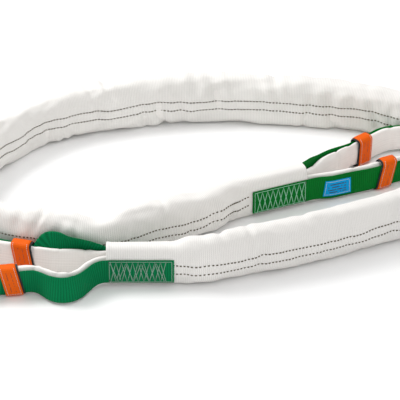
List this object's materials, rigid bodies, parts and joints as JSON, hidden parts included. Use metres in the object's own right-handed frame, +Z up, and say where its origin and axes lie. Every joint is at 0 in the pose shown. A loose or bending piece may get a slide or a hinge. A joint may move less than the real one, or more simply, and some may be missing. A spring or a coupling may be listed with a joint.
{
  "type": "round sling",
  "caption": "Eye-and-eye round sling in a white woven sleeve, with green wear strips on the eyes and sliding orange keeper bands, laid on edge in a spiral.",
  "frame": {"origin": "centre of the footprint of the laid-out sling, on the floor it rests on", "axes": "+X along the long side of the spiral, +Y from the front run towards the back run, +Z up"},
  "size_m": [1.2374, 0.7079, 0.104],
  "materials": {
    "white_sleeve": "woven matt",
    "white_hose": "woven matt",
    "yarn": "fibrous",
    "green_webbing": "woven satin",
    "green_thread": "thread",
    "seam_thread": "thread",
    "orange_webbing": "coated woven satin",
    "black_lining": "woven matt",
    "white_thread": "thread",
    "blue_label": "coated fabric"
  },
  "bodies": {
    "sling_body": {"core_yarn_leg_left": "yarn", "core_yarn_leg_right": "yarn", "hose_leg_left": "white_hose", "hose_leg_right": "white_hose", "seam_stitching": "seam_thread", "sleeve": "white_sleeve", "strip_end_a_back": "green_webbing", "strip_end_a_front": "green_webbing", "strip_end_b_back": "green_webbing", "strip_end_b_front": "green_webbing", "strip_end_stitching_a_back": "green_thread", "strip_end_stitching_a_front": "green_thread", "strip_end_stitching_b_back": "green_thread", "strip_end_stitching_b_front": "green_thread"},
    "eye_a": {"hose_eye_a": "white_hose", "core_yarn_eye_a": "yarn", "wear_strip_eye_a": "green_webbing"},
    "eye_b": {"hose_eye_b": "white_hose", "core_yarn_eye_b": "yarn", "wear_strip_eye_b": "green_webbing", "label": "blue_label", "label_stitching": "white_thread"},
    "keeper_band_a_front": {"keeper_a_front": "orange_webbing", "keeper_lining_a_front": "black_lining", "keeper_stitching_a_front": "white_thread"},
    "keeper_band_a_back": {"keeper_a_back": "orange_webbing", "keeper_lining_a_back": "black_lining", "keeper_stitching_a_back": "white_thread"},
    "keeper_band_b_front": {"keeper_b_front": "orange_webbing", "keeper_lining_b_front": "black_lining", "keeper_stitching_b_front": "white_thread"},
    "keeper_band_b_back": {"keeper_b_back": "orange_webbing", "keeper_lining_b_back": "black_lining", "keeper_stitching_b_back": "white_thread"}
  },
  "joints": [
    {"name": "eye_a_lift", "type": "hinge", "parent": "sling_body", "child": "eye_a", "pos_m": [-0.28715, -0.28324, 0.0586], "axis": [0, 1, 0], "range_deg": [0, 35]},
    {"name": "eye_b_lift", "type": "hinge", "parent": "sling_body", "child": "eye_b", "pos_m": [0.09442, 0.00588, 0.0586], "axis": [0.4041, -0.9147, 0], "range_deg": [0, 35]},
    {"name": "keeper_a_front_slide", "type": "slide", "parent": "eye_a", "child": "keeper_band_a_front", "axis": [-0.986, -0.1669, 0], "range_m": [-0.01, 0.045]},
    {"name": "keeper_a_back_slide", "type": "slide", "parent": "eye_a", "child": "keeper_band_a_back", "axis": [-0.9633, 0.2684, 0], "range_m": [-0.018, 0.04]},
    {"name": "keeper_b_front_slide", "type": "slide", "parent": "eye_b", "child": "keeper_band_b_front", "axis": [0.8793, 0.4763, 0], "range_m": [-0.01, 0.045]},
    {"name": "keeper_b_back_slide", "type": "slide", "parent": "eye_b", "child": "keeper_band_b_back", "axis": [0.7469, 0.6649, 0], "range_m": [-0.045, 0.02]}
  ]
}
